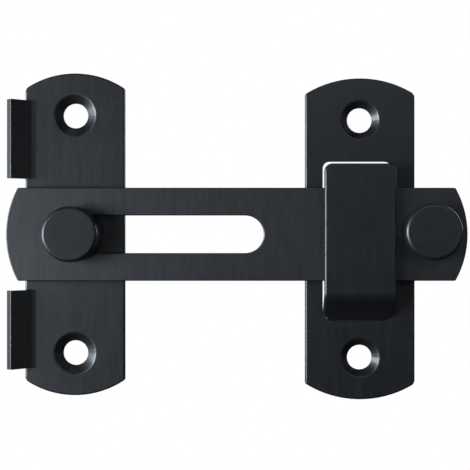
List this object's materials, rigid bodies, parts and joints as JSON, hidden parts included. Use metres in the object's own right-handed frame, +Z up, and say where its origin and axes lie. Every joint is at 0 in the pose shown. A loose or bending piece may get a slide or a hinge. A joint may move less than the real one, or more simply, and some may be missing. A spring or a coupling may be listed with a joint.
{
  "type": "toggle bolt latch",
  "caption": "Flip latch for a door or gate: a slotted steel bar swings and slides on a pivot post and drops into a lanced strap keeper, with a round pull knob.",
  "frame": {"origin": "the pivot's axis on the wall's face, which is the middle of the base plate's two screw holes", "axes": "+X from the base plate towards the keeper, +Z up, -Y out of the wall towards the user"},
  "size_m": [0.11, 0.0112, 0.0786],
  "materials": {
    "coated_plate": "satin black coating over brushed stainless sheet",
    "coated_bar": "satin black coating over brushed stainless sheet",
    "coated_knob": "satin black coating over turned steel",
    "washer": "plain black nylon"
  },
  "bodies": {
    "base": {"base_plate": "coated_plate", "pivot_knob": "coated_knob"},
    "swivel": {"rear_washer": "washer", "front_washer": "washer"},
    "bar": {"latch_bar": "coated_bar", "handle_knob": "coated_knob"},
    "keeper": {"keeper_plate": "coated_plate"}
  },
  "joints": [
    {"name": "bar_swing", "type": "hinge", "parent": "base", "child": "swivel", "pos_m": [0, 0, 0], "axis": [0, -1, 0], "range_deg": [-2.7, 90]},
    {"name": "bar_slide", "type": "slide", "parent": "swivel", "child": "bar", "axis": [1, 0, 0], "range_m": [-0.041, 0]},
    {"name": "keeper_slide", "type": "slide", "parent": "base", "child": "keeper", "axis": [1, 0, 0], "range_m": [-0.041, 0]}
  ],
  "couplings": [
    {"joint": "bar_slide", "follows": "keeper_slide", "ratio": 1}
  ]
}
